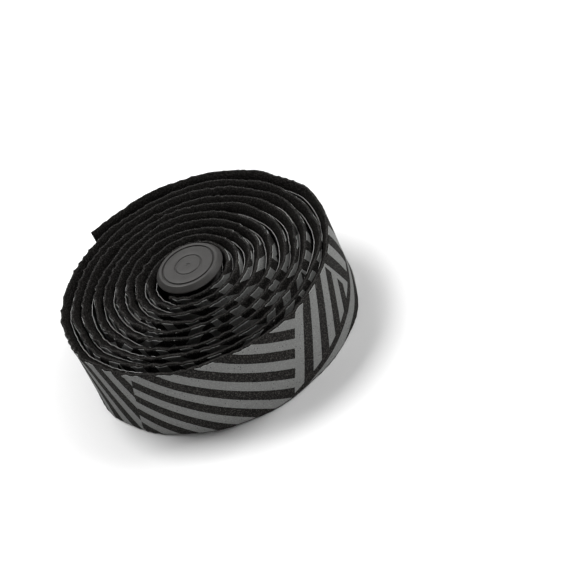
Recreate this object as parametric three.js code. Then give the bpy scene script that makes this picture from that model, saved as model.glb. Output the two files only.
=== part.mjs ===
// A roll of padded handlebar tape, lying on one side, with the push-in end plug seated in its core.
// Millimetres. +Z runs up along the roll's axis, out of the side that holds the plug.
// The origin lies under the middle of the whole object, on the plane that the roll rests on.
import * as THREE from 'three';

// Tape
const TAPE_LENGTH = 1860;         // along the middle of the tape's thickness
const TAPE_WIDTH = 30;
const TAPE_THICKNESS = 3.2;       // at mid-width
const EDGE_THICKNESS = 0.95;      // what the skived edges thin down to
const EDGE_TAPER_WIDTH = 4.8;     // how far the skiving reaches in from each edge, on the back only
const EDGE_ROUND_DEPTH = 0.35;    // the printed face turns in by this much at each edge
const EDGE_ROUND_WIDTH = 0.8;
const WINDING_GAP = 0.7;          // slack between one turn and the next at mid-width
const OUTER_END_ANGLE = THREE.MathUtils.degToRad(119);
const OUTER_END_LIFT = 1.1;       // the loose outer end stands off the roll by this much
const LIFT_LENGTH = 62;           // over this much of the last turn
const TAPE_STEPS = 560;

// End plug
const STEM_BARB_RADIUS = 9.4;
const STEM_RADIUS = 8.5;
const STEM_BORE_RADIUS = 6.6;
const STEM_LENGTH = 22;
const STEM_END_CHAMFER = 0.8;
const BARB_COUNT = 3;
const BARB_HEIGHT = 3.2;
const BARB_SPACING = 5.6;
const FIRST_BARB_DEPTH = 4.4;     // from the cap's underside to the top of the first barb
const CAP_RADIUS = 11.9;
const CAP_FACE_RADIUS = 10.45;    // where the sloping rim meets the cap's flat face
const CAP_THICKNESS = 2.25;
const CAP_RIM_HEIGHT = 0.55;      // upright part of the cap's rim
const CAP_EDGE_CHAMFER = 0.3;
const CAP_PLATE_THICKNESS = 1.7;  // over the stem's bore
const GROOVE_WIDTH = 0.5;
const GROOVE_DEPTH = 0.4;
const GROOVE_RADII = [9.15, 4.6];
const CENTRE_DIMPLE_RADIUS = 0.9;
const CENTRE_DIMPLE_DEPTH = 0.35;
const PLUG_SEGMENTS = 40;

// Fits between the two
const CORE_CLEARANCE = 0.4;       // between the stem's barbs and the first turn
const SEAT_CLEARANCE = 0.3;       // between the cap's underside and the tape's upper edges

const CORE_RADIUS = STEM_BARB_RADIUS + CORE_CLEARANCE;
const PITCH = TAPE_THICKNESS + WINDING_GAP;

// The line that the middle of the tape's printed face follows: a spiral whose radius grows by one
// pitch each turn, from the core outwards, and whose last stretch lifts away from the turn below.
class TapeLine extends THREE.Curve {
  constructor() {
    super();
    const midStart = CORE_RADIUS + TAPE_THICKNESS / 2;
    const midEnd = Math.sqrt(midStart ** 2 + TAPE_LENGTH * PITCH / Math.PI);
    this.startRadius = CORE_RADIUS + TAPE_THICKNESS;
    this.sweep = 2 * Math.PI * (midEnd - midStart) / PITCH;
    this.startAngle = OUTER_END_ANGLE - this.sweep;
    this.liftSweep = LIFT_LENGTH / midEnd;
    this.arcLengthDivisions = 4 * TAPE_STEPS;
  }

  getPoint(t, target = new THREE.Vector3()) {
    const turned = t * this.sweep;
    const angle = this.startAngle + turned;
    const lift = THREE.MathUtils.smoothstep(turned, this.sweep - this.liftSweep, this.sweep);
    const radius = this.startRadius + PITCH * turned / (2 * Math.PI) + OUTER_END_LIFT * lift;
    return target.set(radius * Math.cos(angle), radius * Math.sin(angle), TAPE_WIDTH / 2);
  }
}

// The tape's cross-section. Its x runs across the width and its y into the thickness, from the
// printed face at 0: flat on the printed face, and skived to thin edges on the back.
function tapeSection() {
  const half = TAPE_WIDTH / 2;
  return new THREE.Shape([
    new THREE.Vector2(-half, EDGE_ROUND_DEPTH),
    new THREE.Vector2(-half + EDGE_ROUND_WIDTH, 0),
    new THREE.Vector2(half - EDGE_ROUND_WIDTH, 0),
    new THREE.Vector2(half, EDGE_ROUND_DEPTH),
    new THREE.Vector2(half, EDGE_THICKNESS),
    new THREE.Vector2(half - EDGE_TAPER_WIDTH, TAPE_THICKNESS),
    new THREE.Vector2(-half + EDGE_TAPER_WIDTH, TAPE_THICKNESS),
    new THREE.Vector2(-half, EDGE_THICKNESS),
  ]);
}

function tape() {
  const geometry = new THREE.ExtrudeGeometry(tapeSection(), {
    steps: TAPE_STEPS,
    extrudePath: new TapeLine(),
    bevelEnabled: false,
  });
  const foam = new THREE.MeshStandardMaterial({ color: 0x231f1e, roughness: 0.92, metalness: 0 });
  const mesh = new THREE.Mesh(geometry, foam);
  mesh.name = 'tape';
  return mesh;
}

// The plug's profile as radius and height above the cap's underside. It starts on the axis at the
// top of the stem's bore, goes down the bore, up the barbed outside, round the cap and back to the axis.
function plugProfile() {
  const boreTop = CAP_THICKNESS - CAP_PLATE_THICKNESS;
  const profile = [
    [0, boreTop],
    [STEM_BORE_RADIUS, boreTop],
    [STEM_BORE_RADIUS, -STEM_LENGTH],
    [STEM_RADIUS - STEM_END_CHAMFER, -STEM_LENGTH],
    [STEM_RADIUS, -STEM_LENGTH + STEM_END_CHAMFER],
  ];
  for (let barb = BARB_COUNT - 1; barb >= 0; barb--) {
    const top = -FIRST_BARB_DEPTH - barb * BARB_SPACING;
    profile.push([STEM_RADIUS, top - BARB_HEIGHT], [STEM_BARB_RADIUS, top], [STEM_RADIUS, top]);
  }
  profile.push(
    [STEM_RADIUS, 0],
    [CAP_RADIUS - CAP_EDGE_CHAMFER, 0],
    [CAP_RADIUS, CAP_EDGE_CHAMFER],
    [CAP_RADIUS, CAP_RIM_HEIGHT],
    [CAP_FACE_RADIUS, CAP_THICKNESS],
  );
  for (const radius of GROOVE_RADII) {
    profile.push(
      [radius + GROOVE_WIDTH / 2, CAP_THICKNESS],
      [radius + GROOVE_WIDTH / 4, CAP_THICKNESS - GROOVE_DEPTH],
      [radius - GROOVE_WIDTH / 4, CAP_THICKNESS - GROOVE_DEPTH],
      [radius - GROOVE_WIDTH / 2, CAP_THICKNESS],
    );
  }
  profile.push(
    [CENTRE_DIMPLE_RADIUS, CAP_THICKNESS],
    [CENTRE_DIMPLE_RADIUS / 2, CAP_THICKNESS - CENTRE_DIMPLE_DEPTH],
    [0, CAP_THICKNESS - CENTRE_DIMPLE_DEPTH],
  );
  return profile.map(([radius, height]) => new THREE.Vector2(radius, height));
}

function endPlug() {
  const geometry = new THREE.LatheGeometry(plugProfile(), PLUG_SEGMENTS).rotateX(Math.PI / 2);
  const plastic = new THREE.MeshStandardMaterial({ color: 0x50504e, roughness: 0.6, metalness: 0 });
  const mesh = new THREE.Mesh(geometry, plastic);
  mesh.name = 'end_plug';
  mesh.position.z = TAPE_WIDTH + SEAT_CLEARANCE;
  return mesh;
}

// The spiral's axis stands a little off the middle of the roll's outline, so the whole is moved
// to put the middle of the outline over the origin.
function tapeRoll() {
  const roll = new THREE.Group();
  roll.add(tape(), endPlug());
  const middle = new THREE.Box3().setFromObject(roll).getCenter(new THREE.Vector3());
  roll.position.set(-middle.x, -middle.y, 0);
  return roll;
}

const part = tapeRoll();
export default part;
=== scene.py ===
"""A roll of padded handlebar tape with its end plug, dressed for a studio picture."""
import math
from collections import namedtuple

import bmesh
import bpy
import numpy as np
from bpy.props import FloatProperty, FloatVectorProperty, IntProperty, PointerProperty
from mathutils import Matrix, Vector


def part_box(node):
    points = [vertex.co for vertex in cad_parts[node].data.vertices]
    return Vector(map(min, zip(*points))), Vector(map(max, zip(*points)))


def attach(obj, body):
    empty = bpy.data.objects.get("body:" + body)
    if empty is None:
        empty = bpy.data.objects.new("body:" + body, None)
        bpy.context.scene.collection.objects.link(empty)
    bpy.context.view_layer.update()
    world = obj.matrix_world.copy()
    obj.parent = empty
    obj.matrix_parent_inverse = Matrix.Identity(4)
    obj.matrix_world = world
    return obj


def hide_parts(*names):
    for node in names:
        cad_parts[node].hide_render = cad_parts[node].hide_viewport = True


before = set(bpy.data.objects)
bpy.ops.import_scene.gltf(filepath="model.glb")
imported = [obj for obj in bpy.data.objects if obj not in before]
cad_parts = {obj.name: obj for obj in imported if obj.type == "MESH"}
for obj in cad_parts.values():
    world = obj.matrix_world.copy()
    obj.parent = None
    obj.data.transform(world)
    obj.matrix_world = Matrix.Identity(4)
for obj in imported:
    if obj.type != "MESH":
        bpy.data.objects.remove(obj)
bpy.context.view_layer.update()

bl_info = {
    "name": "Handlebar tape roll",
    "version": (1, 0, 0),
    "blender": (4, 5, 0),
    "location": "3D view > Sidebar > Tape roll",
    "description": "Builds a roll of padded handlebar tape, its end plug and a plain stage",
    "category": "Add Mesh",
}

TAPE_LOW, TAPE_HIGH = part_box("tape")
PLUG_LOW, PLUG_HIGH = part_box("end_plug")
AXIS_X, AXIS_Y = (PLUG_LOW.x + PLUG_HIGH.x) / 2, (PLUG_LOW.y + PLUG_HIGH.y) / 2
MM = 0.001
SHARP_ANGLE = math.radians(48)       # edges that turn more than this are shaded sharp

# Details of the wound tape that no setting changes, in metres where they are lengths
STIFF_START = 0.3                    # over this length from the core on, the edges get free to wander
LEANING_END = (29 * MM, 34 * MM)     # radii between which the turns stop leaning in
PLUG_HOLD = (12 * MM, 17 * MM)       # radii between which they get free of the plug
SINK_SPAN = (math.radians(70), math.radians(400))      # turned back from the outer end, where they sink
LEAN_POWER, WAVE_POWER, UNEVEN_POWER = 2.6, 9, 7       # how each grows from mid-width to the edge
OVAL = 0.42 * MM                     # how far out of round the outer turns are
CRUMBS = 0.07 * MM                   # height of the finest waves along the edges
LOWER_WAVES = 0.3                    # the lower edge's waves, as a share of the upper edge's
FILM_THICKNESS = 0.12 * MM
FILM_WANDER = 0.3 * MM               # how far the film's free edge rises and falls all round
FILM_DROP_BEHIND = 1.9 * MM          # how much lower it lies behind
FILM_DROP_IN_FRONT = 1.6 * MM

# Directions round the roll, from +X towards +Y. The camera stands on the -Y side.
OVAL_SIDE = math.radians(122)        # where the turns are widest
LEANING_SIDE = math.radians(-12)     # where the inner turns' upper edges lean in
WAVY_SIDE = math.radians(190)        # where the small waves are deepest
BEHIND = math.radians(80)            # the film's free edge is lowest here and in front
IN_FRONT = math.radians(-80)

# A field of printed stripes. Lengths are in metres along the tape, and the first one is where the field
# starts at the tape's lower edge. A lean is how far a line moves along the tape for each metre up its width.
# The field covers only what lies above a line that starts at the height floor and climbs by rise.
PrintField = namedtuple("PrintField", "start edge_lean stripe_lean spacing offset floor rise")

PRINT_REPEAT = 184 * MM
PRINT_START = 260 * MM               # from the tape's outer end back to the start of a repeat
PRINTED_SHARE = 0.49                 # of one spacing
PRINT_FIELDS = (
    PrintField(0.0, 0.0, 0.9, 9.6 * MM, 0.2, 0.0, 0.0),
    PrintField(21 * MM, -0.3, -0.42, 8.6 * MM, 0.81, 0.0, 0.0),
    PrintField(40 * MM, 0.28, -1.5, 13.1 * MM, 0.28, 0.0, 0.0),
    PrintField(95 * MM, 0.42, 5.0, 40 * MM, 0.92, 0.0, 0.0),
    PrintField(95 * MM, 0.42, 0.42, 8.2 * MM, 0.0, 1.5 * MM, 0.25),
    PrintField(140 * MM, -0.42, -0.5, 9.0 * MM, 0.1, 10.5 * MM, 0.2),
    PrintField(162 * MM, 0.25, 1.5, 12.5 * MM, 0.6, 0.0, 0.0),
)

# Where the finishes end, as distances round the tape's section from the middle of its printed face
SectionMarks = namedtuple("SectionMarks", "print_end rim_start rim_end film_start film_top")


# Settings


class TapeSettings(bpy.types.PropertyGroup):
    """Sizes of the wound tape."""

    length: FloatProperty(
        name="Length", description="Tape length along the middle of its thickness",
        default=1.86, min=0.3, unit="LENGTH")
    width: FloatProperty(
        name="Width", description="Width of the tape, which is the roll's height",
        default=TAPE_HIGH.z - TAPE_LOW.z, min=0.01, unit="LENGTH")
    thickness: FloatProperty(
        name="Thickness", description="Thickness at mid-width",
        default=3.2 * MM, min=0.001, unit="LENGTH")
    round_depth: FloatProperty(
        name="Round depth", description="How far the printed face turns in at each edge",
        default=0.35 * MM, min=0.0001, unit="LENGTH")
    round_width: FloatProperty(
        name="Round width", description="Width over which the printed face turns in at each edge",
        default=0.50 * MM, min=0.0001, unit="LENGTH")
    rim_width: FloatProperty(
        name="Rim width", description="Width of the cut rim between the round and the skived back",
        default=0.42 * MM, min=0.0001, unit="LENGTH")
    print_depth: FloatProperty(
        name="Print depth", description="Thickness of the printed skin, which ends in a ledge near each edge",
        default=0.12 * MM, min=0.0, unit="LENGTH")
    skive_width: FloatProperty(
        name="Skive width", description="How far the skiving reaches in from each edge of the back",
        default=4.8 * MM, min=0.001, unit="LENGTH")
    film_depth: FloatProperty(
        name="Film depth", description="How far below the upper edge the backing film's free edge lies",
        default=1.9 * MM, min=0.0, unit="LENGTH")
    winding_gap: FloatProperty(
        name="Winding gap", description="Slack between one turn and the next at mid-width",
        default=0.7 * MM, min=0.0, unit="LENGTH")
    core_radius: FloatProperty(
        name="Core radius", description="Radius of the hollow inside the first turn",
        default=9.8 * MM, min=0.002, unit="LENGTH")
    end_angle: FloatProperty(
        name="End angle", description="Where the tape's loose outer end lies round the roll",
        default=math.radians(119), subtype="ANGLE", unit="ROTATION")
    end_lift: FloatProperty(
        name="End lift", description="How far the loose outer end stands off the roll",
        default=1.1 * MM, min=0.0, unit="LENGTH")
    lift_length: FloatProperty(
        name="Lift length", description="Length of tape over which the end lifts",
        default=62 * MM, min=0.001, unit="LENGTH")
    sink: FloatProperty(
        name="Sink", description="How much lower the inner turns' upper edges lie than the outermost one's",
        default=0.6 * MM, min=0.0, unit="LENGTH")
    edge_lean: FloatProperty(
        name="Edge lean", description="How far the free edges wander in and out, slowly",
        default=0.5 * MM, min=0.0, unit="LENGTH")
    side_lean: FloatProperty(
        name="Side lean",
        description="How far the inner turns' upper edges lean in towards the core on one side",
        default=1.3 * MM, min=0.0, unit="LENGTH")
    scallop: FloatProperty(
        name="Scallop", description="Depth of the small waves along the free edges",
        default=0.95 * MM, min=0.0, unit="LENGTH")
    scallop_length: FloatProperty(
        name="Scallop length", description="Length of one small wave along the edge",
        default=5.8 * MM, min=0.001, unit="LENGTH")
    mesh_step: FloatProperty(
        name="Mesh step", description="Spacing of the mesh rows along the tape",
        default=0.85 * MM, min=0.0002, unit="LENGTH")


class FoamSettings(bpy.types.PropertyGroup):
    """Colours of the tape."""

    foam: FloatVectorProperty(
        name="Foam", description="Colour of the black foam",
        default=(0.0095, 0.0091, 0.0087), subtype="COLOR", min=0.0, max=1.0)
    fleck: FloatVectorProperty(
        name="Fleck", description="Colour of the lighter flecks in the foam",
        default=(0.066, 0.062, 0.058), subtype="COLOR", min=0.0, max=1.0)
    ink: FloatVectorProperty(
        name="Ink", description="Colour of the printed stripes",
        default=(0.196, 0.199, 0.194), subtype="COLOR", min=0.0, max=1.0)
    cut_edge: FloatVectorProperty(
        name="Cut edge", description="Colour of the foam on the narrow flat where the edge is cut",
        default=(0.0245, 0.0237, 0.0228), subtype="COLOR", min=0.0, max=1.0)
    skive: FloatVectorProperty(
        name="Skive", description="Colour of the skived foam on the back",
        default=(0.0098, 0.0093, 0.0088), subtype="COLOR", min=0.0, max=1.0)
    film: FloatVectorProperty(
        name="Film", description="Colour of the film on the back",
        default=(0.0085, 0.0082, 0.008), subtype="COLOR", min=0.0, max=1.0)
    # painted highlight: the film's cut edge is painted near white so that it shows as a bright line
    painted_film_edge_highlight: FloatVectorProperty(
        name="Film edge", description="Colour of the backing film's cut edge",
        default=(0.43, 0.425, 0.42), subtype="COLOR", min=0.0, max=1.0)


class PlugSettings(bpy.types.PropertyGroup):
    """Sizes and colour of the end plug."""

    cap_radius: FloatProperty(
        name="Cap radius", description="Outer radius of the cap",
        default=(PLUG_HIGH.x - PLUG_LOW.x) / 2, min=0.002, unit="LENGTH")
    cap_face_radius: FloatProperty(
        name="Cap face radius", description="Where the sloping rim meets the cap's flat face",
        default=10.45 * MM, min=0.002, unit="LENGTH")
    cap_thickness: FloatProperty(
        name="Cap thickness", description="From the cap's underside to its flat face",
        default=2.25 * MM, min=0.0005, unit="LENGTH")
    groove_radius: FloatProperty(
        name="Groove radius", description="Radius of the outer ring groove in the face",
        default=9.15 * MM, min=0.001, unit="LENGTH")
    inner_groove_radius: FloatProperty(
        name="Inner groove radius", description="Radius of the inner ring groove in the face",
        default=4.6 * MM, min=0.001, unit="LENGTH")
    stem_radius: FloatProperty(
        name="Stem radius", description="Radius of the stem between its barbs",
        default=8.5 * MM, min=0.001, unit="LENGTH")
    barb_radius: FloatProperty(
        name="Barb radius", description="Radius of the stem's barbs",
        default=9.4 * MM, min=0.001, unit="LENGTH")
    bore_radius: FloatProperty(
        name="Bore radius", description="Radius of the stem's hollow",
        default=6.6 * MM, min=0.001, unit="LENGTH")
    barbs: IntProperty(
        name="Barbs", description="How many barbs the stem has", default=3, min=0, max=8)
    plastic: FloatVectorProperty(
        name="Plastic", description="Colour of the moulded plastic",
        default=(0.0375, 0.0358, 0.0343), subtype="COLOR", min=0.0, max=1.0)


class StageSettings(bpy.types.PropertyGroup):
    """The floor, the lamps and the camera."""

    floor: FloatVectorProperty(
        name="Floor", description="Colour of the floor",
        default=(0.79, 0.79, 0.79), subtype="COLOR", min=0.0, max=1.0)
    ambient: FloatProperty(
        name="Ambient", description="Strength of the soft light from all round", default=0.05, min=0.0)
    overhead_power: FloatProperty(
        name="Overhead lamp", description="Power of the overhead lamp", default=7.8, min=0.0, unit="POWER")
    back_power: FloatProperty(
        name="Back lamp", description="Power of the wide lamp behind", default=2.2, min=0.0, unit="POWER")
    side_power: FloatProperty(
        name="Side lamp", description="Power of the lamp on the right", default=4.1, min=0.0, unit="POWER")
    front_power: FloatProperty(
        name="Front lamp", description="Power of the low lamp in front", default=2.9, min=0.0, unit="POWER")
    distance: FloatProperty(
        name="Camera distance", description="From the middle of the roll's top to the camera",
        default=0.6759, min=0.1, unit="LENGTH")
    elevation: FloatProperty(
        name="Camera elevation", description="How steeply the camera looks down",
        default=math.radians(37.64), subtype="ANGLE", unit="ROTATION")
    aim: FloatVectorProperty(
        name="Camera aim", description="How far the camera turns up, to the side and round its own axis",
        default=(math.radians(1.659), math.radians(2.151), math.radians(27.109)),
        subtype="EULER", unit="ROTATION")
    lens: FloatProperty(
        name="Lens", description="Focal length for a sensor 36 mm wide", default=125.87, min=10)


# Shapes


def rounded(corners, radius, steps=4):
    """A path with its corners rounded, as an (n, 2) array.

    Each inner corner P is swapped for a short curve: with A and B the points at one radius before and
    after P, or half-way to the next corner where that is nearer, the curve is
    (1 - t) squared A + 2 t (1 - t) P + t squared B for t from 0 to 1. The two end points stay.
    """
    p = np.asarray(corners, float)
    before, here, after = p[:-2], p[1:-1], p[2:]
    to_before, to_after = before - here, after - here
    length_before = np.linalg.norm(to_before, axis=1, keepdims=True)
    length_after = np.linalg.norm(to_after, axis=1, keepdims=True)
    reach = np.minimum(radius, 0.49 * np.minimum(length_before, length_after))
    a = here + to_before / length_before * reach
    b = here + to_after / length_after * reach
    t = np.linspace(0, 1, steps)[None, :, None]
    curve = (1 - t) ** 2 * a[:, None] + 2 * t * (1 - t) * here[:, None] + t ** 2 * b[:, None]
    path = np.concatenate([p[:1], curve.reshape(-1, 2), p[-1:]])
    apart = np.linalg.norm(np.diff(path, axis=0), axis=1) > 1e-9
    return path[np.concatenate([[True], apart])]


def smoothstep(x, low, high):
    """0 below low, 1 above high, and 3 t squared minus 2 t cubed between them."""
    t = np.clip((x - low) / (high - low), 0, 1)
    return t * t * (3 - 2 * t)


def wander(x, shortest, longest, waves, seed):
    """A slow random line, about -1 to 1: a sum of sines of x with wavelengths between the two given."""
    rng = np.random.default_rng(seed)
    wavelengths = np.geomspace(shortest, longest, waves) * rng.uniform(0.85, 1.15, waves)
    phases = rng.uniform(0, 2 * np.pi, waves)
    total = np.sin(2 * np.pi * x[:, None] / wavelengths + phases).sum(1)
    return total / math.sqrt(waves)


def new_mesh_object(name, vertices, faces, uv=None, slots=None):
    """A mesh object from an (n, 3) array of points and a list of (m, k) arrays of corner numbers.

    uv holds one (m, k, 2) array for each array of faces, and slots one array of m material numbers.
    """
    mesh = bpy.data.meshes.new(name)
    counts = np.concatenate([np.full(len(f), f.shape[1]) for f in faces])
    corners = np.concatenate([f.ravel() for f in faces])
    mesh.vertices.add(len(vertices))
    mesh.vertices.foreach_set("co", vertices.astype(np.float32).ravel())
    mesh.loops.add(len(corners))
    mesh.loops.foreach_set("vertex_index", corners.astype(np.int32))
    mesh.polygons.add(len(counts))
    mesh.polygons.foreach_set("loop_start", np.concatenate([[0], np.cumsum(counts)[:-1]]).astype(np.int32))
    if slots is not None:
        mesh.polygons.foreach_set("material_index", np.concatenate(slots).astype(np.int32))
    if uv is not None:
        layer = mesh.uv_layers.new(name="tape_surface")
        flat = np.concatenate([u.reshape(-1, 2) for u in uv])
        layer.data.foreach_set("uv", flat.astype(np.float32).ravel())
    mesh.update(calc_edges=True)
    mesh.validate()
    mesh.shade_smooth()
    mesh.set_sharp_from_angle(angle=SHARP_ANGLE)
    thing = bpy.data.objects.new(name, mesh)
    bpy.context.scene.collection.objects.link(thing)
    return thing


def ring_corners(rows, columns):
    """Row and column of each corner of the quads between rows of points, as two (m, 4) arrays.

    Each row is a closed ring, and its first point counts once more as the one after its last column.
    """
    row = np.repeat(np.arange(rows - 1), columns)
    column = np.tile(np.arange(columns), rows - 1)
    return np.stack([row, row, row + 1, row + 1], 1), np.stack([column, column + 1, column + 1, column], 1)


def ring_faces(rows, columns):
    """Corner numbers of the quads between rows of points, where each row is a closed ring."""
    row, column = ring_corners(rows, columns)
    return row * columns + column % columns


def half_section(tape, turn_steps, skive_steps):
    """Half the tape's section, from the middle of the printed face round one edge to mid-back.

    It is given as insets from the printed face and places across the width. The printed skin ends in a
    small ledge. With u and t from 0 to a right angle, the foam turns in above it as
    inset = print depth + (round depth - print depth) (1 - cos u), across = half - round width (1 - sin u),
    and the skived back curves on as inset = round depth + (thickness - round depth) sin t,
    across = half - skive width (1 - cos t).
    """
    half = tape.width / 2
    u = np.linspace(0, np.pi / 2, turn_steps)
    t = np.linspace(0, np.pi / 2, skive_steps + 1)[1:]
    face = half * np.array([0.0, 0.34, 0.62, 0.82])
    ledge = half - tape.round_width - 0.7 * tape.print_depth
    inset = np.concatenate([
        0 * face,
        [0.0],
        tape.print_depth + (tape.round_depth - tape.print_depth) * (1 - np.cos(u)),
        tape.round_depth + (tape.thickness - tape.round_depth) * np.sin(t),
        [tape.thickness, tape.thickness],
    ])
    across = np.concatenate([
        face,
        [ledge],
        half - tape.round_width * (1 - np.sin(u)),
        half - tape.skive_width * (1 - np.cos(t)),
        [0.3 * half, 0.0],
    ])
    return inset, across


def tape_section(tape):
    """The tape's whole section as a ring: insets, places across the width, and distances round it.

    It runs from the middle of the back down round the lower edge, up the printed face, round the upper
    edge and back. The distances count from the middle of the printed face. Behind the upper skive, the
    film's free edge stands up as a thin wall, in the place of the skive's last two points.
    """
    lower_inset, lower_across = half_section(tape, 4, 5)
    inset, across = half_section(tape, 4, 7)
    top = tape.width / 2 - tape.film_depth
    foot = tape.width / 2 - tape.skive_width
    inner_foot, outer_foot = foot + 0.1 * MM, foot - 0.3 * MM
    wall_inset = tape.thickness - FILM_THICKNESS * np.array([1, 1, 0, 0])
    wall_across = np.array([inner_foot, top, top, outer_foot])
    inset = np.concatenate([inset[:-4], wall_inset, inset[-2:]])
    across = np.concatenate([across[:-4], wall_across, across[-2:]])
    inset = np.concatenate([lower_inset[:0:-1], inset])
    across = np.concatenate([-lower_across[:0:-1], across])
    around = np.concatenate([[0], np.cumsum(np.hypot(np.diff(inset), np.diff(across)))])
    return inset, across, around - around[len(lower_inset) - 1]


def on_film_top(tape, inset, across):
    """Which points of the section are the two at the top of the film's wall."""
    foot = tape.width / 2 - tape.skive_width
    return (inset > tape.thickness - 1.5 * FILM_THICKNESS) & (across > foot + 0.2 * MM)


def section_marks(tape):
    """Distances round the section from the middle of the printed face to where each finish ends."""
    inset, across, around = tape_section(tape)
    foam = (around >= 0) & (inset < tape.thickness - 1.25 * FILM_THICKNESS)
    ends = (tape.print_depth, 0.75 * tape.round_depth, tape.round_depth + tape.rim_width)
    print_end, rim_start, rim_end = np.interp(ends, inset[foam], around[foam])
    film_top = around[on_film_top(tape, inset, across)].mean()
    return SectionMarks(print_end, rim_start, rim_end, around[foam].max(), film_top)


def towards(angle, side):
    """1 on that side of the roll, falling with the cosine to 0 a quarter turn away."""
    return np.clip(np.cos(angle - side), 0, 1)


def spiral(tape):
    """The line through the middle of the tape's thickness: lengths along it, its radii and its angles.

    The radius grows by one pitch a turn, so after a length s it is the square root of
    (first radius squared + s pitch / pi). The line ends at the loose outer end's angle.
    """
    first = tape.core_radius + tape.thickness / 2
    pitch = tape.thickness + tape.winding_gap
    along = np.linspace(0, tape.length, int(tape.length / tape.mesh_step) + 1)
    radius = np.sqrt(first ** 2 + along * pitch / np.pi)
    turned = 2 * np.pi * (radius - first) / pitch
    return along, radius, tape.end_angle - turned[-1] + turned


def face_radius(tape, along, middle, angle):
    """Radius of the printed face at mid-width, half a thickness outside the middle line.

    To that come the lift of the loose end and a slight oval, OVAL cos 2 (angle - OVAL_SIDE), which fades
    out towards the core.
    """
    lift = tape.end_lift * smoothstep(along, tape.length - tape.lift_length, tape.length)
    outer = smoothstep(middle, middle[0], 2.2 * middle[0])
    oval = OVAL * np.cos(2 * (angle - OVAL_SIDE)) * outer
    return middle + tape.thickness / 2 + lift + oval


def edge_leans(tape, along, middle, angle):
    """How far the upper and the lower edge lean outwards.

    Both wander slowly, and less near the core. The inner turns' upper edges also lean in towards the core
    on one side, and the first turn or two only half as far, because the plug holds them.
    """
    looseness = 0.55 + 0.45 * smoothstep(along, 0, STIFF_START)
    upper = tape.edge_lean * looseness * wander(along, 0.024, 0.21, 7, seed=11)
    lower = tape.edge_lean * looseness * wander(along, 0.024, 0.21, 7, seed=12)
    inner = 1 - smoothstep(middle, *LEANING_END)
    off_plug = 0.5 + 0.5 * smoothstep(middle, *PLUG_HOLD)
    upper -= tape.side_lean * inner * off_plug * towards(angle, LEANING_SIDE)
    return upper, lower


def edge_waves(tape, along, angle):
    """How far the small waves push the edges outwards.

    0.6 less the size of a sine gives pointed crests with round hollows between them. They are deepest on
    one side, and the finest waves lie over them all round.
    """
    strength = 0.57 + 0.3 * wander(along, 0.02, 0.07, 3, seed=13) + 0.33 * np.cos(angle - WAVY_SIDE)
    phase = along / tape.scallop_length + 0.7 * wander(along, 0.021, 0.06, 3, seed=14)
    wave = 0.6 - np.abs(np.sin(np.pi * phase))
    crumbs = CRUMBS * wander(along, 0.0019, 0.0047, 6, seed=15)
    return tape.scallop * np.clip(strength, 0.1, 1) * wave + crumbs


def film_rise(along, angle):
    """How far the film's free edge rises: a slow wander, less a drop behind and a narrower one in front."""
    rise = FILM_WANDER * wander(along, 0.03, 0.17, 5, seed=18)
    rise -= FILM_DROP_BEHIND * towards(angle, BEHIND)
    rise -= FILM_DROP_IN_FRONT * towards(angle, IN_FRONT) ** 3
    return rise


def wound_tape(tape):
    """Points of the wound tape, as (rows, ring, 3), with their distances along and around it.

    A point's radius is the printed face's, less its inset in the section, plus the lean and the waves of
    the nearer edge, which grow from mid-width to the edge as powers of the place across. Its height is its
    place across, less the sink of the inner turns, which grows evenly up the tape. Near the upper edge it
    is a little uneven, and the film's free edge rises and falls by itself.
    """
    inset, across, around = tape_section(tape)
    inset, across = inset[:-1], across[:-1]
    half = tape.width / 2
    up = np.clip(across / half, 0, 1)
    down = np.clip(-across / half, 0, 1)
    along, middle, angle = spiral(tape)

    upper_lean, lower_lean = edge_leans(tape, along, middle, angle)
    lean = upper_lean[:, None] * up ** LEAN_POWER + lower_lean[:, None] * down ** LEAN_POWER
    nearness = up ** WAVE_POWER + LOWER_WAVES * down ** WAVE_POWER
    waves = edge_waves(tape, along, angle)[:, None] * nearness
    radius = face_radius(tape, along, middle, angle)[:, None] - inset + lean + waves

    sink = tape.sink * smoothstep(angle[-1] - angle, *SINK_SPAN)
    uneven = 0.10 * MM * wander(along, 0.006, 0.05, 5, seed=16)
    uneven += 0.06 * MM * wander(along, 0.0019, 0.0044, 5, seed=17)
    height = across + half - up * sink[:, None] + uneven[:, None] * up ** UNEVEN_POWER
    height += film_rise(along, angle)[:, None] * on_film_top(tape, inset, across)
    x = AXIS_X + radius * np.cos(angle)[:, None]
    y = AXIS_Y + radius * np.sin(angle)[:, None]
    return np.stack([x, y, TAPE_LOW.z + height], -1), along, around


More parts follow.
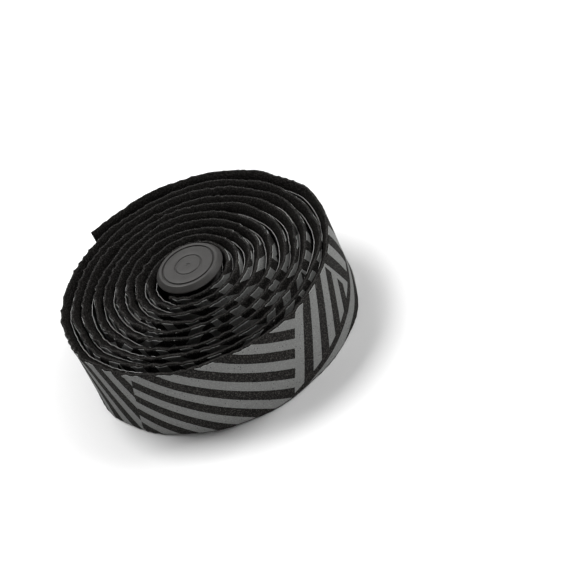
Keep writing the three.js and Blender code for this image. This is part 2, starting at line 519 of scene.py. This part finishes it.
def plug_profile(plug):
    """The plug's profile, as radii and heights above the cap's underside, with each corner a little rounded.

    It goes from the axis down the bore, up the barbed outside, round the cap and back to the axis.
    """
    stem_end = PLUG_LOW.z - (PLUG_HIGH.z - plug.cap_thickness)
    corner_radius = 0.16 * MM
    stem_chamfer = 0.8 * MM
    bore_top = 0.55 * MM
    barb_height, barb_spacing, first_barb = 3.2 * MM, 5.6 * MM, 4.4 * MM
    barb_rim, barb_chamfer = 0.35 * MM, 0.1 * MM
    cap_chamfer, cap_rim_top = 0.3 * MM, 0.62 * MM
    bevel_outer, bevel_inner, bevel_depth = 0.1 * MM, 0.15 * MM, 0.1 * MM
    groove_depth, inner_groove_depth = 0.6 * MM, 0.36 * MM
    groove_half_width, groove_floor_outer, groove_floor_inner = 0.34 * MM, 0.20 * MM, 0.12 * MM
    dimple_radius, dimple_floor_radius, dimple_depth = 0.9 * MM, 0.5 * MM, 0.35 * MM
    top = plug.cap_thickness

    corners = [
        (0.0, bore_top),
        (plug.bore_radius, bore_top),
        (plug.bore_radius, stem_end),
        (plug.stem_radius - stem_chamfer, stem_end),
        (plug.stem_radius, stem_end + stem_chamfer),
    ]
    for barb in reversed(range(plug.barbs)):
        barb_top = -first_barb - barb * barb_spacing
        corners += [
            (plug.stem_radius, barb_top - barb_height),
            (plug.barb_radius, barb_top - barb_rim),
            (plug.barb_radius - barb_chamfer, barb_top),
            (plug.stem_radius, barb_top),
        ]
    corners += [
        (plug.stem_radius, 0.0),
        (plug.cap_radius - cap_chamfer, 0.0),
        (plug.cap_radius, cap_chamfer),
        (plug.cap_radius, cap_rim_top),
        (plug.cap_face_radius + bevel_outer, top - bevel_depth),
        (plug.cap_face_radius - bevel_inner, top),
    ]
    grooves = ((plug.groove_radius, groove_depth), (plug.inner_groove_radius, inner_groove_depth))
    for radius, depth in grooves:
        corners += [
            (radius + groove_half_width, top),
            (radius + groove_floor_outer, top - depth),
            (radius - groove_floor_inner, top - depth),
            (radius - groove_half_width, top),
        ]
    corners += [
        (dimple_radius, top),
        (dimple_floor_radius, top - dimple_depth),
        (0.0, top - dimple_depth),
    ]
    return rounded(corners, corner_radius)


def turned_plug(plug, segments=180):
    """The profile carried round the axis: x = radius cos a, y = radius sin a, for a from 0 to a full turn."""
    profile = plug_profile(plug)
    a = np.linspace(0, 2 * np.pi, segments, endpoint=False)
    x = AXIS_X + profile[:, :1] * np.cos(a)
    y = AXIS_Y + profile[:, :1] * np.sin(a)
    z = np.broadcast_to(PLUG_HIGH.z - plug.cap_thickness + profile[:, 1:], x.shape)
    return np.stack([x, y, z], -1)


# Finishes


def shade(colour, factor):
    """The colour made lighter or darker by a factor."""
    return tuple(c * factor for c in colour)


class Shader:
    """One material's nodes, added with short calls. A socket or a plain number can be passed anywhere."""

    def __init__(self, name):
        self.material = bpy.data.materials.new(name)
        self.material.use_nodes = True
        self.nodes = self.material.node_tree.nodes
        self.links = self.material.node_tree.links
        self.nodes.clear()
        self.output = self.add("ShaderNodeOutputMaterial")
        self.place = self.add("ShaderNodeTexCoord").outputs["Object"]

    def add(self, kind, **settings):
        node = self.nodes.new(kind)
        for key, value in settings.items():
            setattr(node, key, value)
        return node

    def put(self, socket, value):
        if isinstance(value, bpy.types.NodeSocket):
            self.links.new(value, socket)
        else:
            socket.default_value = value

    def math(self, operation, *values):
        node = self.add("ShaderNodeMath", operation=operation)
        for socket, value in zip(node.inputs, values):
            self.put(socket, value)
        return node.outputs[0]

    def blend(self, factor, a, b):
        """A colour that goes from a to b as the factor goes from 0 to 1."""
        node = self.add("ShaderNodeMix", data_type="RGBA")
        self.put(node.inputs["Factor"], factor)
        for name, value in (("A", a), ("B", b)):
            socket = [s for s in node.inputs if s.name == name and s.type == "RGBA"][0]
            self.put(socket, (*value, 1.0) if isinstance(value, tuple) else value)
        return [s for s in node.outputs if s.type == "RGBA"][0]

    def span(self, value, low, high, to_low=0.0, to_high=1.0):
        """The value mapped from low..high to to_low..to_high, smoothly and held at the ends."""
        node = self.add("ShaderNodeMapRange", interpolation_type="SMOOTHSTEP")
        for socket, given in zip(node.inputs, (value, low, high, to_low, to_high)):
            self.put(socket, given)
        return node.outputs[0]

    def noise(self, size, detail=2.0, roughness=0.5):
        """Noise with features of that size in metres."""
        node = self.add("ShaderNodeTexNoise")
        self.put(node.inputs["Vector"], self.place)
        node.inputs["Scale"].default_value = 1 / size
        node.inputs["Detail"].default_value = detail
        node.inputs["Roughness"].default_value = roughness
        return node.outputs["Fac"]

    def dots(self, spacing, radius):
        """1 inside small dots scattered about one spacing apart, and 0 elsewhere."""
        node = self.add("ShaderNodeTexVoronoi")
        self.put(node.inputs["Vector"], self.place)
        node.inputs["Scale"].default_value = 1 / spacing
        return self.math("LESS_THAN", node.outputs["Distance"], radius / spacing)

    def surface(self, colour, roughness, height, bump_depth, **others):
        """A Principled surface, with the height as a bump of that depth in metres."""
        shader = self.add("ShaderNodeBsdfPrincipled")
        self.put(shader.inputs["Base Color"], colour)
        self.put(shader.inputs["Roughness"], roughness)
        for name, value in others.items():
            self.put(shader.inputs[name.replace("_", " ")], value)
        bump = self.add("ShaderNodeBump")
        bump.inputs["Distance"].default_value = bump_depth
        self.put(bump.inputs["Height"], height)
        self.links.new(bump.outputs["Normal"], shader.inputs["Normal"])
        self.links.new(shader.outputs[0], self.output.inputs["Surface"])
        return self.material


class TapeShader(Shader):
    """A shader that also has the place on the tape, along it and round its section, and a fine grain."""

    def __init__(self, name):
        super().__init__(name)
        surface = self.add("ShaderNodeUVMap", uv_map="tape_surface").outputs[0]
        split = self.add("ShaderNodeSeparateXYZ")
        self.links.new(surface, split.inputs[0])
        self.along, self.around = split.outputs[0], split.outputs[1]
        self.out = self.math("ABSOLUTE", self.around)
        self.grain = self.noise(0.46 * MM, detail=3, roughness=0.7)
        raggedness = 0.15 * MM
        ragged = self.math("MULTIPLY_ADD", self.noise(0.25 * MM), 2 * raggedness, -raggedness)
        self.ragged_along = self.math("ADD", self.along, ragged)
        self.ragged_out = self.math("ADD", self.out, ragged)

    def speckle(self, dark, light, low=0.45, high=0.65):
        """A colour that goes from dark to light with the grain."""
        return self.blend(self.span(self.grain, low, high), tuple(dark), tuple(light))


def stripes(shader, field, along, across):
    """1 on the printed stripes of one field: the place along the tape, less the lean, is counted in
    spacings, and the first share of each spacing is printed."""
    leant = shader.math("MULTIPLY_ADD", across, -field.stripe_lean, along)
    first = field.offset - field.start / field.spacing
    counted = shader.math("MULTIPLY_ADD", leant, 1 / field.spacing, first)
    return shader.math("LESS_THAN", shader.math("FRACT", counted), PRINTED_SHARE)


def printed(shader, along, across):
    """1 where the tape carries print. The fields follow each other along the tape and repeat. Each one
    covers the one before it from its own leaning start on, above its own floor line."""
    place = shader.math("WRAP", along, PRINT_REPEAT, 0.0)
    mask = stripes(shader, PRINT_FIELDS[0], place, across)
    for field in PRINT_FIELDS[1:]:
        start = shader.math("MULTIPLY_ADD", across, field.edge_lean, field.start)
        inside = shader.math("GREATER_THAN", place, start)
        if field.floor or field.rise:
            past = shader.math("SUBTRACT", place, start)
            floor = shader.math("MULTIPLY_ADD", past, field.rise, field.floor)
            above = shader.math("GREATER_THAN", across, floor)
            inside = shader.math("MULTIPLY", inside, above)
        change = shader.math("SUBTRACT", stripes(shader, field, place, across), mask)
        mask = shader.math("MULTIPLY_ADD", change, inside, mask)
    return mask


def printed_foam(foam, tape, marks):
    """Black speckled foam with printed stripes, which stop a little short of the edges. The print has a
    few pinholes, and a thin band at its upper and lower ends is painted much lighter: a painted highlight."""
    shader = TapeShader("printed_foam")
    across = shader.math("ADD", shader.around, tape.width / 2)
    from_start = shader.math("ADD", shader.ragged_along, PRINT_START - tape.length)
    on_face = shader.math("LESS_THAN", shader.out, marks.print_end)
    cloud = shader.noise(5 * MM, detail=3)
    dots = shader.dots(1.1 * MM, 0.18 * MM)
    pinholes = shader.math("MULTIPLY", dots, shader.span(cloud, 0.45, 0.5, 0.0, 0.8))
    ink = shader.math("MULTIPLY", printed(shader, from_start, across), on_face)
    ink = shader.math("MULTIPLY", ink, shader.math("SUBTRACT", 1.0, pinholes))
    # painted highlight: the ink is painted 1.8 times lighter in a thin band just short of where the print
    # ends
    painted_end_highlight = shader.span(shader.out, marks.print_end - 0.16 * MM, marks.print_end - 0.1 * MM)

    bare = shader.speckle(foam.foam, foam.fleck, 0.47, 0.68)
    inked = shader.speckle(shade(foam.ink, 0.83), shade(foam.ink, 1.13))
    inked = shader.blend(painted_end_highlight, inked, shade(foam.ink, 1.8))
    colour = shader.blend(ink, bare, inked)
    roughness = shader.math("MULTIPLY_ADD", ink, -0.3, 0.95)
    grain = shader.math("MULTIPLY", shader.grain, shader.math("MULTIPLY_ADD", ink, -0.7, 1.0))
    height = shader.math("MULTIPLY_ADD", ink, 0.4, grain)
    return shader.surface(colour, roughness, height, 0.14 * MM, Specular_IOR_Level=0.08)


def cut_foam(foam, marks):
    """Bare foam where the edge is cut and the back is skived: open cells with a coarse dark grain. The cut
    rim is lighter, with a fuzz that catches the light where the surface turns away."""
    shader = TapeShader("cut_foam")
    past_print = shader.span(shader.ragged_out, marks.rim_start - 0.1 * MM, marks.rim_start + 0.04 * MM)
    before_skive = shader.span(shader.ragged_out, marks.rim_end, marks.rim_end + 0.2 * MM, 1.0, 0.0)
    rim = shader.math("MULTIPLY", past_print, before_skive)
    cut = shader.speckle(shade(foam.cut_edge, 0.6), shade(foam.cut_edge, 2.0))
    skived = shader.speckle(shade(foam.skive, 0.5), shade(foam.skive, 2.4), 0.45, 0.68)
    colour = shader.blend(rim, skived, cut)
    fuzz = shader.math("MULTIPLY", rim, shader.span(shader.grain, 0.38, 0.62, 0.3, 0.9))
    return shader.surface(
        colour, 0.95, shader.grain, 0.2 * MM, Specular_IOR_Level=0.0, Sheen_Weight=fuzz, Sheen_Roughness=0.2)


def backing_film(foam, marks):
    """The thin black film on the back, smooth and slightly shiny. Its cut edge is a thin band painted near
    white, a painted highlight.
    """
    shader = TapeShader("backing_film")
    from_top = shader.math("ABSOLUTE", shader.math("SUBTRACT", shader.around, marks.film_top))
    # painted highlight: within about 0.1 mm of the film's top the colour goes to the near-white edge colour
    edge = shader.span(from_top, 0.05 * MM, 0.10 * MM, 1.0, 0.0)
    colour = shader.blend(edge, tuple(foam.film), tuple(foam.painted_film_edge_highlight))
    creases = shader.noise(4 * MM, detail=4)
    roughness = shader.span(shader.grain, 0.3, 0.7, 0.38, 0.5)
    return shader.surface(colour, roughness, creases, 0.25 * MM, Specular_IOR_Level=0.25)


def moulded_plastic(plug):
    """Dark grey satin plastic with a very fine mould grain and slightly mottled."""
    shader = Shader("plug_plastic")
    grain = shader.noise(0.25 * MM, detail=3, roughness=0.6)
    cloud = shader.noise(3.5 * MM, detail=3)
    tone = shader.math("MULTIPLY_ADD", cloud, 0.5, shader.math("MULTIPLY", grain, 0.5))
    colour = shader.blend(shader.span(tone, 0.35, 0.65), shade(plug.plastic, 0.9), shade(plug.plastic, 1.1))
    roughness = shader.span(grain, 0.3, 0.7, 0.42, 0.54)
    return shader.surface(colour, roughness, grain, 0.02 * MM, Specular_IOR_Level=0.30)


def studio_floor(stage):
    """A matt floor that keeps the object's shadow. Seen directly, in a reflection or through something
    clear, it also gives out a little light, so that it runs out to white. That light grows with the distance
    from a point a little to the right of the roll's middle, because the shadow falls to the right."""
    shadow_middle = (0.016, 0.0, 0.0)
    glow_start, glow_full = 0.05, 0.155
    shader = Shader("studio_floor")
    matt = shader.add("ShaderNodeBsdfDiffuse")
    matt.inputs["Color"].default_value = (*stage.floor, 1.0)
    away = shader.add("ShaderNodeVectorMath", operation="DISTANCE")
    shader.links.new(shader.place, away.inputs[0])
    away.inputs[1].default_value = shadow_middle
    rays = shader.add("ShaderNodeLightPath")
    seen = shader.math("MAXIMUM", rays.outputs["Is Camera Ray"], rays.outputs["Is Glossy Ray"])
    seen = shader.math("MAXIMUM", seen, rays.outputs["Is Transmission Ray"])
    amount = shader.span(away.outputs["Value"], glow_start, glow_full)
    glow = shader.add("ShaderNodeEmission")
    shader.links.new(shader.math("MULTIPLY", seen, amount), glow.inputs["Strength"])
    both = shader.add("ShaderNodeAddShader")
    shader.links.new(matt.outputs[0], both.inputs[0])
    shader.links.new(glow.outputs[0], both.inputs[1])
    shader.links.new(both.outputs[0], shader.output.inputs["Surface"])
    return shader.material


def studio_world(stage):
    """Soft even light from all round, and plain white where the camera looks past the floor."""
    world = bpy.data.worlds.new("studio_world")
    world.use_nodes = True
    nodes, links = world.node_tree.nodes, world.node_tree.links
    background = nodes["Background"]
    background.inputs["Color"].default_value = (1, 1, 1, 1)
    rays = nodes.new("ShaderNodeLightPath")
    strength = nodes.new("ShaderNodeMapRange")
    strength.inputs["To Min"].default_value = stage.ambient
    strength.inputs["To Max"].default_value = 1.0
    links.new(rays.outputs["Is Camera Ray"], strength.inputs["Value"])
    links.new(strength.outputs[0], background.inputs["Strength"])
    return world


# Stage


def lamp(name, place, target, width, height, power):
    """An area lamp that faces the target."""
    data = bpy.data.lights.new(name, "AREA")
    data.shape = "RECTANGLE"
    data.size, data.size_y, data.energy = width, height, power
    thing = bpy.data.objects.new(name, data)
    thing.location = place
    thing.rotation_mode = "QUATERNION"
    thing.rotation_quaternion = (Vector(target) - Vector(place)).to_track_quat("-Z", "Y")
    bpy.context.scene.collection.objects.link(thing)


def picture_camera(stage):
    """The camera looks along +Y and down at the top of the roll, then turns about its own axes: up, to
    the side, and round the line of sight, so that the roll is seen at a slant."""
    data = bpy.data.cameras.new("camera")
    data.lens, data.sensor_width = stage.lens, 36
    data.clip_start, data.clip_end = 0.01, 20
    thing = bpy.data.objects.new("camera", data)
    bpy.context.scene.collection.objects.link(thing)
    bpy.context.scene.camera = thing
    right_of_axis = 0.85 * MM
    e = stage.elevation
    back = Vector((0, -math.cos(e), math.sin(e)))
    place = Vector((AXIS_X + right_of_axis, AXIS_Y, TAPE_HIGH.z)) + back * stage.distance
    level = Matrix.Rotation(math.pi / 2 - e, 3, "X")
    up, sideways, lean = stage.aim
    own = Matrix.Rotation(-sideways, 3, "Y") @ Matrix.Rotation(-up, 3, "X") @ Matrix.Rotation(-lean, 3, "Z")
    thing.matrix_world = Matrix.Translation(place) @ (level @ own).to_4x4()


# Operators


class TAPEROLL_OT_tape(bpy.types.Operator):
    """Winds the printed tape into its roll"""

    bl_idname = "taperoll.tape"
    bl_label = "Tape"

    def execute(self, context):
        tape = context.scene.taperoll_tape
        foam = context.scene.taperoll_foam
        points, along, around = wound_tape(tape)
        rows, columns = points.shape[:2]
        marks = section_marks(tape)
        finishes = (printed_foam(foam, tape, marks), cut_foam(foam, marks), backing_film(foam, marks))
        row, column = ring_corners(rows, columns)
        uv = np.stack([along[row], around[column]], -1)
        out = np.abs(around[column].mean(1))
        finish = np.digitize(out, (marks.rim_start, marks.film_start))

        # The tape's two ends are cut square, and their faces get the skived foam's finish.
        ring = np.arange(columns)
        first_end, last_end = ring[::-1][None], (ring + (rows - 1) * columns)[None]
        end_uv = np.full((1, columns, 2), marks.rim_end + 1 * MM)
        end_finish = np.array([1])
        roll = new_mesh_object(
            "tape_roll", points.reshape(-1, 3), [ring_faces(rows, columns), first_end, last_end],
            [uv, end_uv, end_uv], [finish, end_finish, end_finish])
        for material in finishes:
            roll.data.materials.append(material)
        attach(roll, "root")
        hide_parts("tape")
        return {"FINISHED"}


class TAPEROLL_OT_plug(bpy.types.Operator):
    """Turns the end plug that sits in the roll's core"""

    bl_idname = "taperoll.plug"
    bl_label = "End plug"

    def execute(self, context):
        plug = context.scene.taperoll_plug
        points = turned_plug(plug)
        rows, columns = points.shape[:2]
        piece = new_mesh_object("plug", points.reshape(-1, 3), [ring_faces(rows, columns)])
        shape = bmesh.new()
        shape.from_mesh(piece.data)
        bmesh.ops.remove_doubles(shape, verts=shape.verts, dist=1e-7)
        bmesh.ops.recalc_face_normals(shape, faces=shape.faces)
        shape.to_mesh(piece.data)
        shape.free()
        piece.data.materials.append(moulded_plastic(plug))
        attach(piece, "root")
        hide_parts("end_plug")
        return {"FINISHED"}


class TAPEROLL_OT_stage(bpy.types.Operator):
    """Sets up the floor, the lamps and the camera"""

    bl_idname = "taperoll.stage"
    bl_label = "Stage"

    def execute(self, context):
        stage = context.scene.taperoll_stage
        half_side = 6.0
        corners = half_side * np.array([(-1, -1, 0), (1, -1, 0), (1, 1, 0), (-1, 1, 0)])
        floor = new_mesh_object("floor", corners, [np.array([[0, 1, 2, 3]])])
        floor.data.materials.append(studio_floor(stage))
        target = (0, 0, TAPE_HIGH.z / 2)
        lamp("overhead_lamp", (-0.22, 0.33, 0.80), target, 0.42, 0.36, stage.overhead_power)
        lamp("back_lamp", (0.42, 0.90, 0.36), target, 0.9, 0.5, stage.back_power)
        lamp("side_lamp", (0.54, 0.00, 0.60), target, 0.4, 0.3, stage.side_power)
        lamp("front_lamp", (0.05, -0.90, 0.09), target, 0.6, 0.12, stage.front_power)
        context.scene.world = studio_world(stage)
        context.scene.view_settings.view_transform = "Standard"
        picture_camera(stage)
        return {"FINISHED"}


class TAPEROLL_PT_panel(bpy.types.Panel):
    """Lists the pieces of the roll"""

    bl_idname = "TAPEROLL_PT_panel"
    bl_label = "Tape roll"
    bl_space_type = "VIEW_3D"
    bl_region_type = "UI"
    bl_category = "Tape roll"

    def draw(self, context):
        for operator, settings in PIECES:
            box = self.layout.box()
            box.operator(operator.bl_idname)
            for group in settings:
                values = getattr(context.scene, group)
                for name in values.bl_rna.properties.keys():
                    if name not in ("rna_type", "name"):
                        box.prop(values, name)


PIECES = (
    (TAPEROLL_OT_tape, ("taperoll_tape", "taperoll_foam")),
    (TAPEROLL_OT_plug, ("taperoll_plug",)),
    (TAPEROLL_OT_stage, ("taperoll_stage",)),
)
SETTINGS = {
    "taperoll_tape": TapeSettings,
    "taperoll_foam": FoamSettings,
    "taperoll_plug": PlugSettings,
    "taperoll_stage": StageSettings,
}
CLASSES = (*SETTINGS.values(), TAPEROLL_OT_tape, TAPEROLL_OT_plug, TAPEROLL_OT_stage, TAPEROLL_PT_panel)


def register():
    for cls in CLASSES:
        bpy.utils.register_class(cls)
    for name, group in SETTINGS.items():
        setattr(bpy.types.Scene, name, PointerProperty(type=group))


def unregister():
    for name in SETTINGS:
        delattr(bpy.types.Scene, name)
    for cls in reversed(CLASSES):
        bpy.utils.unregister_class(cls)


def main():
    """Builds the stage and the pieces."""
    register()
    bpy.ops.taperoll.stage()
    bpy.ops.taperoll.tape()
    bpy.ops.taperoll.plug()


if __name__ == "__main__":
    main()
